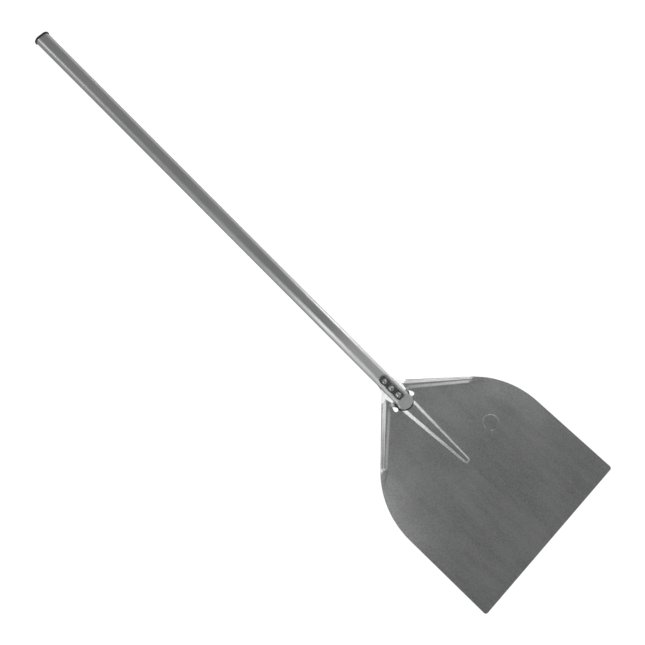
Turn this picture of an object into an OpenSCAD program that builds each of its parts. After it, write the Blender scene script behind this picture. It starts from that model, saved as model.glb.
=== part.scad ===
// Long-handled pizza peel: a pressed sheet head, a flat-oval tube handle whose near end is
// pressed flat and riveted to the head, and a push-in plug in the far end of the tube.
// +X runs along the peel to the front edge, +Z is up, and z = 0 is the underside of the blade.
// The origin is on that underside, on the centre line, where the rear shoulders begin.

/* [Blade] */
// Width of the blade
blade_w = 360; // [340:5:380]
// Distance from the origin to the straight front edge
blade_front = 180; // [120:5:260]
// Radius of the two front corners
front_r = 5; // [2:1:15]
// Radius of the two rear shoulders
shoulder_r = 165; // [160:1:170]
// Thickness of the sheet
sheet_t = 1.5; // [1.2:0.1:1.8]

/* [Stiffening] */
// Height of the bead pressed along each rear edge
bead_h = 5.5; // [4:0.5:6.5]
// Height of the sheet's outer edge beside the bead
edge_h = 1; // [0.5:0.5:2]
// Height of the tapered rib and of the floor that the tube rests on
rib_h = 2.5; // [2:0.1:3]
// Distance from the origin back to the rounded nose of the rib
rib_nose = 16; // [10:1:60]

/* [Handle] */
// Width of the flat-oval tube
tube_w = 30; // [28:1:32]
// Height of the flat-oval tube
tube_h = 20; // [18:1:22]
// Wall of the tube
tube_wall = 1.5; // [1.2:0.1:1.6]
// Length of the tube along its own axis
handle_len = 1016; // [400:4:1400]
// Rise of the handle above the plane of the blade, in degrees
handle_rise = 7.3; // [4:0.1:12]

/* [Rivets] */
// Distance between neighbouring rivets
rivet_pitch = 18.5; // [17:0.5:19]
// Diameter of the domed rivet heads
rivet_head_d = 11; // [9:0.5:12]
// Diameter of the rivet shanks
rivet_d = 6; // [4:0.5:7]

/* [End plug] */
// Thickness of the plug's flange
flange_t = 3; // [2:0.5:5]
// Overhang of the flange past the tube, all round
flange_lip = 1.8; // [1:0.1:3]
// Length of the part of the plug that sits inside the tube
spigot_len = 26; // [15:1:40]

/* [Hidden] */
$fn = 96;
small = 0.01;

aluminium = [0.62, 0.63, 0.64];
bright = [0.74, 0.75, 0.76];
black = [0.1, 0.1, 0.11];

function clamp(v, lo, hi) = max(lo, min(hi, v));
function ramp(v, a, b) = clamp((v - a) / (b - a), 0, 1);
function ease(u) = u * u * (3 - 2 * u);
function mix(a, b, u) = a + (b - a) * u;
function arc_drop(u) = 1 - sqrt(max(0, 1 - u * u));
// a straight ramp from 0 to 1 whose two ends are rounded over the share w
function soft(u, w) = u < w ? u * u / (2 * w * (1 - w))
    : u > 1 - w ? 1 - (1 - u) * (1 - u) / (2 * w * (1 - w)) : (u - w / 2) / (1 - w);

// ---- plan of the head, on the +Y side ----
shoulder_y = blade_w / 2 - shoulder_r;
hem_x = 120;
hem_end = [-hem_x, shoulder_y + sqrt(shoulder_r * shoulder_r - hem_x * hem_x)];
neck_corner = [-217.7, 20];
neck_end = [-226.5, 16];
tab_corner = [-241, 11.5];
tab_end_x = -245;
hem_run = norm(neck_corner - hem_end);
hem_dir = (neck_corner - hem_end) / hem_run;
hem_in = [-hem_dir[1], hem_dir[0]];

// distances inwards from the outer edge, s along it from the hem's outer end
function crest_off(s) = 5.9 + 0.0332 * s;
function base_off(s) = 13.6 + 0.055 * s;
function outer_at(s) = hem_end + s * hem_dir;
function crest_at(s) = outer_at(s) + crest_off(s) * hem_in;
function base_at(s) = outer_at(s) + base_off(s) * hem_in;

// the bead turns tightly at the neck and then runs forward beside the tube
turn_r = 7;
side_y = 18.7;
crest_dir = (crest_at(100) - crest_at(0)) / norm(crest_at(100) - crest_at(0));
crest_in = [-crest_dir[1], crest_dir[0]];
turn_s = (side_y + turn_r - crest_at(0)[1] - turn_r * crest_in[1])
    / ((crest_at(1) - crest_at(0))[1]);
turn_c = crest_at(turn_s) + turn_r * crest_in;
turn_a0 = atan2(-crest_in[1], -crest_in[0]);
neck_front = -184;

// teardrop relief hole in the corner between bead, tube and rib: a circle and a pointed tip,
// with the angles where the straight sides leave the circle and where the two chains meet
relief_c = [-178.6, 22.2];
relief_r = 4.4;
relief_tip = base_at(turn_s);
tip_a = atan2(relief_tip[1] - relief_c[1], relief_tip[0] - relief_c[0]);
tip_half = acos(relief_r / norm(relief_tip - relief_c));
meet_a = -40;
function on_relief(a) = relief_c + relief_r * [cos(a), sin(a)];
function relief_rear(u) = u < 0.5 ? mix(relief_tip, on_relief(tip_a + tip_half), 2 * u)
    : on_relief(mix(tip_a + tip_half, 360 + meet_a, 2 * u - 1));
function relief_fore(u) = u < 0.4 ? mix(relief_tip, on_relief(tip_a - tip_half), u / 0.4)
    : on_relief(mix(tip_a - tip_half, meet_a, (u - 0.4) / 0.6));

// ---- side view of the tube ----
floor_z = sheet_t + rib_h;
tube_a = tube_w / 2;
tube_b = tube_h / 2;
bend_x = -255;
bend_len = 14;
tip_x = -163.5;
rise = tan(handle_rise);
far_x = bend_x - (handle_len - (tip_x - bend_x)) * cos(handle_rise);
rivet_mid_x = -212.5;
rivet_x = [for (i = [-1 : 1]) rivet_mid_x + i * rivet_pitch];
trough_end_r = 10;
trough_x0 = rivet_x[0] - trough_end_r;
trough_x1 = -184.2;
squeeze_x0 = -268;

function bottom_z(x) = floor_z + rise * (x <= bend_x - bend_len ? bend_x - x
    : x >= bend_x + bend_len ? 0 : pow(bend_x + bend_len - x, 2) / (4 * bend_len));
function tilt(x) = atan(rise * ramp(-x, -bend_x - bend_len, -bend_x + bend_len));
function half_height(x) = mix(tube_b, 0.51 * tube_b, ease(ramp(x, squeeze_x0, trough_x1)));

// ---- height of the pressed neck and rib over the flat sheet: a cradle that follows the tube's
// underside, a lip beside the tube's side and a gusset that slopes away from the lip ----
neck_ease = 8;
lip_drop = 0.4;
lip_gap = 0.6;
cradle_gap = 0.1;
cradle_max = 0.96;
gusset_slope = 0.42;
gusset_y = tube_a + 1;
function neck_fade(x) = ease(ramp(-x, -neck_front, -neck_front + neck_ease));
function lip_z(x) = floor_z + half_height(x) - lip_drop;
function cradle_u(x, y) = (y - tube_a + half_height(x)) / (half_height(x) + lip_drop);
function cradle_z(x, y) = floor_z - cradle_gap
    + half_height(x) * arc_drop(clamp(cradle_u(x, y), 0, cradle_max));
function gusset_z(x, y) = lip_z(x) - gusset_slope * (y - gusset_y);
function neck_h(x, y) = neck_fade(x) * (max(0, y < tube_a + lip_gap
    ? max(floor_z, min(cradle_z(x, y), lip_z(x))) : gusset_z(x, y)) - sheet_t);
rib_x0 = -162;
rib_base = [16.2, 6.7];
rib_top = [8.2, 2.4];
nose_x = -rib_nose - rib_base[1];
function rib_w(w, x) = mix(w[0], w[1], ramp(x, rib_x0, nose_x));
function rib_h_at(x, y) = rib_h
    * (1 - ramp(x > nose_x ? norm([x - nose_x, y]) : y, rib_w(rib_top, x), rib_w(rib_base, x)));

// ---- one half of the head, as stations that start at the outer end of the bead, run along it,
// round its turn at the neck and forward beside the rib to its nose. Each station is a row of
// points: one on the outline of the blade, one at the foot of the bead or beside the rib, one
// on the bead's crest or the rib's foot, and one on the rear edge or the centre line. The last
// value is the strength of the bead there. ----
rim_a0 = acos(-hem_x / shoulder_r);
function rim_at(a) = [shoulder_r * cos(a), shoulder_y + shoulder_r * sin(a)];
function corner_at(a) = [blade_front - front_r, blade_w / 2 - front_r]
    + front_r * [cos(a), sin(a)];
cap_s = [2, 4, 6.5, 10];
run_s = [for (i = [0 : 4]) mix(24, turn_s, i / 4)];
bead_s = concat(cap_s, run_s);
fan_n = 15;
fan_edge = [
    mix(outer_at(turn_s), neck_corner, 0.5), neck_corner, mix(neck_corner, neck_end, 0.5),
    neck_end, mix(neck_end, tab_corner, 0.5), tab_corner, [tab_end_x, 7], [tab_end_x, 0],
    [-238, 0], [-231, 0], [-224, 0], [-217, 0], [-210, 0], [-204, 0], [-198, 0]
];
side_x = [-188.5, -187.3, -186.2, -185.1, neck_front];
foot_x = [-181, -178];
rib_xs = [-175, -170, rib_x0, nose_x];
relief_n = fan_n + len(side_x) + len(foot_x);
nose_a = [75 : -15 : 0];
rib_reach = 3;
in_u = [1, 0.75, 0.5, 0.25];
out_u = [0, 0.1, 0.2, 0.3, 0.4, 0.5, 0.6, 0.7, 0.85, 1];

function wall(u) = 1 - soft(u, 0.3);
function slope(u) = mix(1, edge_h / bead_h, soft(u, 0.25));
function cap_fade(s) = ease(ramp(s, 0, 8));
function side_fade(x) = ease(ramp(-x, -neck_front - 1, -neck_front + 7));
function front_at(u) = [blade_front, (blade_w / 2 - front_r) * (1 - u)];

stations = concat(
    [[rim_at(rim_a0 - 7), rim_at(rim_a0 - 4.6), rim_at(rim_a0 - 2), hem_end, 0]],
    [for (i = [0 : len(bead_s) - 1])
        let (s = bead_s[i])
        [rim_at(mix(rim_a0 - 10, 90, i / (len(bead_s) - 1))),
            base_at(s), crest_at(s), outer_at(s), cap_fade(s)]],
    [for (i = [1 : fan_n])
        let (a = mix(turn_a0, 270, i / fan_n))
        [[mix(0, blade_front - front_r, i / fan_n), blade_w / 2],
            relief_rear(0.45 * i / fan_n),
            turn_c + turn_r * [cos(a), sin(a)], fan_edge[i - 1], 1]],
    [for (i = [0 : len(side_x) - 1])
        let (x = side_x[i])
        [corner_at(75 - 75 * i / (len(side_x) - 1)),
            relief_rear(0.5 + 0.06 * i), [x, side_y], [x, 0], side_fade(x)]],
    [for (i = [0 : len(foot_x) - 1])
        let (x = foot_x[i])
        [front_at(0.08 * (i + 1)), relief_rear(0.82 + 0.09 * i), [x, rib_base[0]], [x, 0], 0]],
    [for (i = [0 : len(rib_xs) - 1])
        let (x = rib_xs[i], w = rib_w(rib_base, x))
        [front_at(0.28 + 0.12 * i), i == 0 ? on_relief(meet_a) : [x, w + rib_reach],
            [x, w], [x, 0], 0]],
    [for (a = nose_a)
        let (d = [cos(a), sin(a)], c = [nose_x, 0])
        [front_at(1 - a / 75 * 0.3), c + (rib_base[1] + rib_reach) * d, c + rib_base[1] * d,
            c + [rib_top[1] * (1 - a / 90), 0], 0]]
);

function lifted(p, h, neck) = [p[0], p[1],
    sheet_t + max(h, neck * neck_h(p[0], p[1]), rib_h_at(p[0], p[1]))];
function station_row(st) = concat(
    [[st[0][0], st[0][1], sheet_t]],
    [for (u = in_u) lifted(mix(st[2], st[1], u), bead_h * st[4] * wall(u), 1 - ease(u))],
    [for (u = out_u) lifted(mix(st[2], st[3], u), bead_h * st[4] * slope(u), 1)]
);

// the whole sheet, closed underneath at its thickness and mirrored about the centre line. The
// relief hole is the gap between its own row of fore points and the second point of each row.
module formed_sheet() {
    rows = [for (st = stations) station_row(st)];
    m = len(rows);
    n = len(rows[0]);
    first = 1 + len(bead_s);
    last = first + relief_n - 1;
    fore = [for (i = [1 : relief_n]) let (p = relief_fore(i / (relief_n + 1)))
        [p[0], p[1], sheet_t]];
    top = concat([for (r = rows) each r], fore);
    k = len(top);
    half = concat(top, [for (p = top) p - [0, 0, sheet_t]]);
    function fore_of(i) = i < first || i > last ? i * n + 1 : m * n + i - first;
    function on_axis(i) = half[i][1] == 0;
    function twin(i) = on_axis(i) ? i : 2 * k + i;
    upper = concat(
        [for (i = [0 : m - 2]) [i * n, fore_of(i), fore_of(i + 1), i * n + n]],
        [for (i = [0 : m - 2], j = [1 : n - 2])
            let (a = i * n + j) [a, a + 1, a + n + 1, a + n]]
    );
    lower = [for (q = upper) [k + q[0], k + q[3], k + q[2], k + q[1]]];
    rim = concat(
        [for (i = [0 : m - 2]) [i * n, i * n + n]],
        [for (i = [m - 1 : -1 : 1]) [i * n + n - 1, i * n - 1]],
        [for (j = [n - 1 : -1 : 1]) [j, j - 1]],
        [for (j = [0 : n - 2]) [(m - 1) * n + j, (m - 1) * n + j + 1]],
        [for (i = [first - 1 : last]) each
            [[fore_of(i + 1), fore_of(i)], [i * n + 1, i * n + n + 1]]]
    );
    walls = [for (e = rim) if (!(on_axis(e[0]) && on_axis(e[1])))
        [e[0], e[1], e[1] + k, e[0] + k]];
    tris = [for (q = concat(upper, lower, walls))
        each [[q[0], q[1], q[2]], [q[0], q[2], q[3]]]];
    both = concat(tris, [for (t = tris) [twin(t[2]), twin(t[1]), twin(t[0])]]);
    polyhedron(concat(half, [for (p = half) [p[0], -p[1], p[2]]]), both, convexity = 8);
}

// a shallow ring is rolled into the top of the blade
module head_sheet() {
    mark_at = [-36.5, 86];
    mark_r = 15;
    mark_w = 1.1;
    mark_depth = 0.12;
    color(aluminium) difference() {
        formed_sheet();
        for (x = rivet_x) translate([x, 0, -1]) cylinder(h = 20, d = rivet_d);
        translate([mark_at[0], mark_at[1], sheet_t - mark_depth])
            linear_extrude(1) difference() {
                circle(mark_r + mark_w / 2);
                circle(mark_r - mark_w / 2);
            }
    }
}

// ---- handle tube. The trough round the rivets is scalloped, widest at each rivet; its floor
// rises to a ridge at the front, where the flat tongue begins. ----
ring_n = 56;
trough_max_w = 9.8;
trough_min_w = 8.5;
trough_rise = 24;
floor_gap = 0.3;
ridge_h = 6.2;
ridge_len = 2.4;
tongue_bulge = 17;
tongue_r = 17.4;
tongue_a = 17.2;
tongue_b = [3.1, 2.8];
function trough_w(x) = x < rivet_x[0]
    ? (x > trough_x0 ? trough_max_w * sqrt(1 - pow((x - rivet_x[0]) / trough_end_r, 2))
        : x - trough_x0)
    : mix(trough_min_w, trough_max_w, abs(cos(180 * (x - rivet_x[0]) / rivet_pitch)));
function trough_floor(x) = mix(2 * tube_wall + floor_gap, ridge_h,
    ramp(x, trough_x1 - ridge_len, trough_x1));

// v: height over the tube's underside at the distance y from its middle
function section_v(y, a, b, up) = b + up * b * (1 - arc_drop(clamp((abs(y) - a + b) / b, 0, 1)));
function pressed_v(v, y, w, f) = min(v, f + trough_rise * ramp(abs(y), w - 2.4, w + 1.2));

// one ring of points: inset 0 gives the outer face, inset = wall the inner face
function tube_ring(x, inset, a, b, press, tip) = [for (k = [0 : ring_n - 1])
    let (
        t = 360 * (k + 0.5) / ring_n,
        ai = a - inset,
        bi = b - inset,
        y = ai * cos(t),
        up = sin(t) > 0 ? 1 : -1,
        free = section_v(y, ai, bi, up) + inset,
        v = up < 0 || !press ? free
            : pressed_v(free, y, trough_w(x) + 0.9 * inset, trough_floor(x) - inset),
        end = tip * tongue_bulge * (sqrt(max(0, 1 - pow(y / tongue_r, 2))) - 1),
        q = tilt(x)
    )
    [x + end + v * sin(q), y, bottom_z(x) + v * cos(q)]];

neck_xs = concat(
    [squeeze_x0 + 6, -256, -250, -246, trough_x0 - 2, trough_x0 - 0.8, trough_x0 + 0.2],
    [trough_x0 + 1.2, trough_x0 + 3, trough_x0 + 6],
    [for (i = [0 : 12]) mix(rivet_x[0], trough_x1 - 4, i / 12)],
    [trough_x1 - ridge_len, trough_x1 - ridge_len / 2, trough_x1]
);
straight_xs = [far_x, -700, squeeze_x0 - 6];
tongue_n = 5;

function tube_face(inset) = concat(
    [for (x = straight_xs) tube_ring(x, inset, tube_a, tube_b, false, 0)],
    [for (x = neck_xs) tube_ring(x, inset, tube_a, half_height(x), true, 0)],
    [for (i = [1 : tongue_n])
        let (u = i / tongue_n)
        tube_ring(mix(trough_x1, tip_x, u), inset, mix(tube_a, tongue_a, ease(min(1, 1.6 * u))),
            mix(tongue_b[0], tongue_b[1], u), false, u * u)]
);

module handle_shell() {
    outer = tube_face(0);
    inner = tube_face(tube_wall);
    m = len(outer);
    n = ring_n;
    k = m * n;
    quads = concat(
        [for (i = [0 : m - 2], j = [0 : n - 1])
            let (a = i * n + j, b = i * n + (j + 1) % n) [a, a + n, b + n, b]],
        [for (i = [0 : m - 2], j = [0 : n - 1])
            let (a = k + i * n + j, b = k + i * n + (j + 1) % n) [a, b, b + n, a + n]],
        [for (j = [0 : n - 1]) let (b = (j + 1) % n) [j, b, b + k, j + k]],
        [for (j = [0 : n - 1])
            let (a = (m - 1) * n + j, b = (m - 1) * n + (j + 1) % n) [a, a + k, b + k, b]]
    );
    tris = [for (q = quads) each [[q[0], q[1], q[2]], [q[0], q[2], q[3]]]];
    points = concat([for (r = outer, p = r) p], [for (r = inner, p = r) p]);
    polyhedron(points, tris, convexity = 10);
}

module handle_tube() {
    color(bright) difference() {
        handle_shell();
        for (x = rivet_x) translate([x, 0, 0]) cylinder(h = 40, d = rivet_d);
    }
}

// ---- end plug ----
module flat_oval(w, h) {
    r = h / 2;
    square([w - 2 * r, h], center = true);
    for (s = [-1, 1]) translate([s * (w / 2 - r), 0]) circle(r);
}

module at_far_end() {
    translate([far_x, 0, bottom_z(far_x)])
        rotate([0, -90 + handle_rise, 0])
            rotate([0, 0, 90])
                translate([0, -tube_b, 0])
                    children();
}

module end_plug() {
    bore_w = tube_w - 2 * tube_wall;
    bore_h = tube_h - 2 * tube_wall;
    rib_gap = 0.15;
    color(black) at_far_end() difference() {
        union() {
            linear_extrude(flange_t)
                flat_oval(tube_w + 2 * flange_lip, tube_h + 2 * flange_lip);
            translate([0, 0, -spigot_len]) linear_extrude(spigot_len + small)
                flat_oval(bore_w - 2, bore_h - 2);
            for (i = [0 : 3]) translate([0, 0, -spigot_len + 3 + 6 * i])
                linear_extrude(1.2) flat_oval(bore_w - 2 * rib_gap, bore_h - 2 * rib_gap);
        }
        translate([0, 0, -spigot_len - 1]) linear_extrude(spigot_len)
            flat_oval(bore_w - 6, bore_h - 6);
    }
}

// ---- rivets ----
module rivet(x) {
    seat_z = floor_z + 2 * tube_wall + floor_gap;
    head_h = 2.6;
    dome_r = (pow(rivet_head_d / 2, 2) + head_h * head_h) / (2 * head_h);
    tail_h = 1.8;
    tail_d = 10;
    color(bright) translate([x, 0, 0]) {
        translate([0, 0, rib_h - tail_h]) cylinder(h = tail_h, d = tail_d);
        translate([0, 0, rib_h - small]) cylinder(h = seat_z - rib_h + 2 * small, d = rivet_d);
        translate([0, 0, seat_z]) intersection() {
            translate([0, 0, head_h - dome_r]) sphere(dome_r);
            cylinder(h = head_h + 1, d = rivet_head_d + 1);
        }
    }
}

head_sheet();
handle_tube();
end_plug();
rivet(rivet_x[0]);  // rivet_rear
rivet(rivet_x[1]);  // rivet_middle
rivet(rivet_x[2]);  // rivet_front
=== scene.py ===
# Pizza peel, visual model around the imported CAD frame. Plan points and heights are in
# millimetres in the CAD frame and become metres when a mesh is made.
import math

import bmesh
import bpy
from mathutils import Matrix, Vector


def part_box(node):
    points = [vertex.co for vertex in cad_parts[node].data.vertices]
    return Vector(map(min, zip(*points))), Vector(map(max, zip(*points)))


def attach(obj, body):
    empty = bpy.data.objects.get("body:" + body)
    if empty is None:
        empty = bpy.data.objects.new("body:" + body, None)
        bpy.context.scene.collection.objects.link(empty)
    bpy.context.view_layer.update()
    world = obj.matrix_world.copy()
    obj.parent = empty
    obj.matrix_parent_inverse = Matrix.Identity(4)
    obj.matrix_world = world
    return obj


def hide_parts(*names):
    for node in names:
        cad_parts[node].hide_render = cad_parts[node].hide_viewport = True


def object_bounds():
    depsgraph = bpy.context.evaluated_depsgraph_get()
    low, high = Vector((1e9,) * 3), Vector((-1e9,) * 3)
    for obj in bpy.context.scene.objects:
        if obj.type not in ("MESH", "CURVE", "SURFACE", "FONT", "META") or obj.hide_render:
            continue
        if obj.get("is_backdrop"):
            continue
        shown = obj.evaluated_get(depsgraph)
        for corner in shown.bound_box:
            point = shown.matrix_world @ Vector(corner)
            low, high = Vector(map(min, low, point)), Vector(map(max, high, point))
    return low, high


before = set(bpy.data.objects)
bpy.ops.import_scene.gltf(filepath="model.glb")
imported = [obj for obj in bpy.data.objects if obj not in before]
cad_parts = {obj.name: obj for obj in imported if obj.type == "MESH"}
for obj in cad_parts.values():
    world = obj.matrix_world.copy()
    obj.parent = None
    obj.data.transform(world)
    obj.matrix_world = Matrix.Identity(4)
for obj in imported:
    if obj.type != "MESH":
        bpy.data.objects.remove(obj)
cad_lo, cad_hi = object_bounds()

MM = 0.001


def box_mm(node):
    lo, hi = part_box(node)
    return Vector(lo) / MM, Vector(hi) / MM


head_hi = box_mm("head_sheet")[1]
tube_lo = box_mm("handle_tube")[0]
rivet_boxes = [box_mm(n) for n in ("rivet_rear", "rivet_middle", "rivet_front")]


# ---- small helpers ----
def clamp(v, lo, hi):
    return max(lo, min(hi, v))


def ramp(v, a, b):
    return clamp((v - a) / (b - a), 0.0, 1.0)


def ease(u):
    return u * u * (3 - 2 * u)


def mix(a, b, u):
    return a + (b - a) * u


def pair(p, q, u):
    return (mix(p[0], q[0], u), mix(p[1], q[1], u))


def arc_drop(u):
    """How far a quarter of a unit circle has dropped at the share u of its radius."""
    return 1 - math.sqrt(max(0.0, 1 - u * u))


def smin(a, b, k):
    """The smaller of a and b, blended smoothly where they differ by less than k."""
    h = max(k - abs(a - b), 0.0) / k
    return min(a, b) - h * h * k * 0.25


def soft(u, w=0.16):
    """A straight ramp from 0 to 1 whose two ends are rounded over w."""
    u = clamp(u, 0.0, 1.0)
    top = 1 / (1 - w)
    if u < w:
        return top * u * u / (2 * w)
    if u > 1 - w:
        return 1 - top * (1 - u) ** 2 / (2 * w)
    return top * (u - w / 2)


def steps(a, b, n):
    """n values from a to b, without a."""
    return [mix(a, b, i / n) for i in range(1, n + 1)]


def polar(c, r, deg):
    a = math.radians(deg)
    return (c[0] + r * math.cos(a), c[1] + r * math.sin(a))


def along(points, t):
    """The point at the fractional index t of a polyline."""
    i = min(int(t), len(points) - 2)
    return pair(points[i], points[i + 1], t - i)


# ---- measures shared with the CAD source ----
BLADE_HALF = head_hi.y
BLADE_FRONT = head_hi.x
SHEET = 1.5
FRONT_R = 5.0
SHOULDER_R = 165.0
SHOULDER_Y = BLADE_HALF - SHOULDER_R
BEAD_H = 5.5
EDGE_H = 1.0
RIB_H = 2.5
RIB_NOSE = 16.0
TUBE_A, TUBE_B = 15.0, 10.0  # half the width and half the height of the tube
TUBE_END_X = tube_lo.x
WALL = 1.5
RISE_DEG = 7.3
RISE = math.tan(math.radians(RISE_DEG))
RIVET_X = [(lo.x + hi.x) / 2 for lo, hi in rivet_boxes]
PITCH = RIVET_X[1] - RIVET_X[0]
FLOOR_Z = SHEET + RIB_H  # the underside of the tube on the neck
BEND_X = -255.0
BEND_LEN = 14.0
TIP_X = -163.5
TONGUE_BULGE = 17.0
TONGUE_R = 17.4
TONGUE_A = 17.2
TONGUE_B = (3.1, 2.8)
SQUEEZE_X0 = -268.0
PRESSED_SHARE = 0.51  # what is left of the tube's half height at the front of the trough
TROUGH_END_R = 10.0
TROUGH_X0 = RIVET_X[0] - TROUGH_END_R
TROUGH_X1 = -184.2
TROUGH_MAX_W = 9.8
TROUGH_MIN_W = 8.5
TROUGH_RISE = 24.0
FLOOR_GAP = 0.3  # between the tube's walls where they are pressed together
RIDGE_H = 6.2
RIDGE_LEN = 2.4
NECK_FRONT = -184.0
NECK_EASE = 8.0
LIP_DROP = 0.4
LIP_Y = TUBE_A + 0.6
CRADLE_GAP = 0.1
CRADLE_MAX = 0.96
GUSSET_SLOPE = 0.42
GUSSET_Y = TUBE_A + 1


# ---- the tube in side view ----
def bottom_z(x):
    if x <= BEND_X - BEND_LEN:
        return FLOOR_Z + RISE * (BEND_X - x)
    if x >= BEND_X + BEND_LEN:
        return FLOOR_Z
    return FLOOR_Z + RISE * (BEND_X + BEND_LEN - x) ** 2 / (4 * BEND_LEN)


def tilt(x):
    return math.atan(RISE * ramp(-x, -BEND_X - BEND_LEN, -BEND_X + BEND_LEN))


def half_height(x):
    return mix(TUBE_B, PRESSED_SHARE * TUBE_B, ease(ramp(x, SQUEEZE_X0, TROUGH_X1)))


# ---- heights of the pressed neck and rib over the flat sheet: a cradle that follows the tube's
# underside, a lip beside the tube's side, a gusset that slopes away from the lip, and the rib ----
def neck_fade(x):
    return ease(ramp(-x, -NECK_FRONT, -NECK_FRONT + NECK_EASE))


def lip_z(x):
    return FLOOR_Z + half_height(x) - LIP_DROP


def cradle_z(x, y):
    b = half_height(x)
    u = clamp((y - TUBE_A + b) / (b + LIP_DROP), 0.0, CRADLE_MAX)
    return FLOOR_Z - CRADLE_GAP + b * arc_drop(u)


def gusset_z(x, y):
    return lip_z(x) - GUSSET_SLOPE * (y - GUSSET_Y)


def neck_h(x, y):
    fade = neck_fade(x)
    if fade <= 0:
        return 0.0
    if y < LIP_Y:
        z = max(FLOOR_Z, min(cradle_z(x, y), lip_z(x)))
    else:
        z = gusset_z(x, y)
    return fade * max(0.0, z - SHEET)


# the rib: where it begins to taper, and its half widths there and at its nose
RIB_X0 = -162.0
RIB_BASE = (16.2, 6.7)
RIB_TOP = (8.2, 2.4)
NOSE_X = -RIB_NOSE - RIB_BASE[1]
RIB_REACH = 3.0  # from the rib's foot to the next line of points beside it


def rib_w(w, x):
    return mix(w[0], w[1], ramp(x, RIB_X0, NOSE_X))


def rib_h_at(x, y):
    d = math.hypot(x - NOSE_X, y) if x > NOSE_X else y
    return RIB_H * (1 - soft(ramp(d, rib_w(RIB_TOP, x), rib_w(RIB_BASE, x))))


# ---- plan of the head, on the +Y side ----
HEM_X = 120.0
HEM_END = (-HEM_X, SHOULDER_Y + math.sqrt(SHOULDER_R**2 - HEM_X**2))
NECK_CORNER = (-217.7, 20.0)
NECK_END = (-226.5, 16.0)
TAB_CORNER = (-241.0, 11.5)
TAB_END_X = -245.0
hem_run = math.dist(NECK_CORNER, HEM_END)
hem_dir = ((NECK_CORNER[0] - HEM_END[0]) / hem_run, (NECK_CORNER[1] - HEM_END[1]) / hem_run)
hem_in = (-hem_dir[1], hem_dir[0])


def inward(s, d):
    """The point s along the rear edge from the hem's outer end and d into the blade."""
    return (HEM_END[0] + s * hem_dir[0] + d * hem_in[0],
            HEM_END[1] + s * hem_dir[1] + d * hem_in[1])


def outer_at(s):
    return inward(s, 0.0)


def crest_at(s):
    """On the bead's crest, which moves slowly away from the rear edge towards the neck."""
    return inward(s, 5.9 + 0.0332 * s)


def base_at(s):
    """At the foot of the bead, on the blade's side."""
    return inward(s, 13.6 + 0.055 * s)


# the crest turns on a circle from beside the rear edge to run forward beside the tube
TURN_R = 7.0
SIDE_Y = 18.7
c0, c1 = crest_at(0), crest_at(100)
crest_len = math.dist(c0, c1)
crest_in = (-(c1[1] - c0[1]) / crest_len, (c1[0] - c0[0]) / crest_len)
turn_s = (SIDE_Y + TURN_R - c0[1] - TURN_R * crest_in[1]) / (crest_at(1)[1] - c0[1])
turn_crest = crest_at(turn_s)
turn_c = (turn_crest[0] + TURN_R * crest_in[0], turn_crest[1] + TURN_R * crest_in[1])
turn_a0 = math.degrees(math.atan2(-crest_in[1], -crest_in[0])) % 360

# the teardrop relief hole: a circle, a pointed tip, and the angle where its two chains meet
RELIEF_C = (-178.6, 22.2)
RELIEF_R = 4.4
MEET_A = -40.0
relief_tip = base_at(turn_s)
tip_a = math.degrees(math.atan2(relief_tip[1] - RELIEF_C[1], relief_tip[0] - RELIEF_C[0]))
tip_half = math.degrees(math.acos(RELIEF_R / math.dist(relief_tip, RELIEF_C)))


def on_relief(a):
    return polar(RELIEF_C, RELIEF_R, a)


def relief_rear(u):
    """From the tip of the hole round its rear side to where the chains meet."""
    if u < 0.5:
        return pair(relief_tip, on_relief(tip_a + tip_half), 2 * u)
    return on_relief(mix(tip_a + tip_half, 360 + MEET_A, 2 * u - 1))


def relief_fore(u):
    """From the tip of the hole round its front side to where the chains meet."""
    if u < 0.4:
        return pair(relief_tip, on_relief(tip_a - tip_half), u / 0.4)
    return on_relief(mix(tip_a - tip_half, MEET_A, (u - 0.4) / 0.6))


# ---- one half of the head: rows of points from the outline to the rear edge or centre line ----
rim_a0 = math.degrees(math.acos(-HEM_X / SHOULDER_R))


def rim_at(a):
    return polar((0.0, SHOULDER_Y), SHOULDER_R, a)


def corner_at(a):
    return polar((BLADE_FRONT - FRONT_R, BLADE_HALF - FRONT_R), FRONT_R, a)


def front_at(u):
    return (BLADE_FRONT, (BLADE_HALF - FRONT_R) * (1 - u))


def cap_fade(s):
    """The bead's strength at its outer end."""
    return ease(ramp(s, 0, 8))


def side_fade(x):
    """The bead's strength beside the tube, where it fades out forwards."""
    return ease(ramp(-x, -NECK_FRONT - 1, -NECK_FRONT + 7))


START_A = (7, 4.6, 2, 0)  # the first row's points on the outline, in degrees before its end
HEM_S, HEM_A = 2.0, 10.0  # the first row that is square to the hem: along the hem, on the outline
FAN_N = 15
FAN_SUB = 8  # rows for each step of FAN_EDGE
REAR_PASSES = 14  # passes that round the corners of the rear edge
FAN_EDGE = [
    outer_at(turn_s),
    pair(outer_at(turn_s), NECK_CORNER, 0.5), NECK_CORNER, pair(NECK_CORNER, NECK_END, 0.5),
    NECK_END, pair(NECK_END, TAB_CORNER, 0.5), TAB_CORNER, (TAB_END_X, 7.0), (TAB_END_X, 0.0),
    (-238.0, 0.0), (-231.0, 0.0), (-224.0, 0.0), (-217.0, 0.0), (-210.0, 0.0), (-204.0, 0.0),
    (-198.0, 0.0),
]
AXIS_I = 8  # the place in FAN_EDGE where the rear edge reaches the centre line
SIDE_X = [turn_c[0], -188.5, -187.3, -186.2, -185.1, NECK_FRONT]
FOOT_X = [-181.0, -178.0, -175.0]
RELIEF_SPAN = FAN_N + 8  # from the tip of the relief hole to where its two chains meet
IN_N = 12
in_u = [1 - i / IN_N for i in range(IN_N)]


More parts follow.
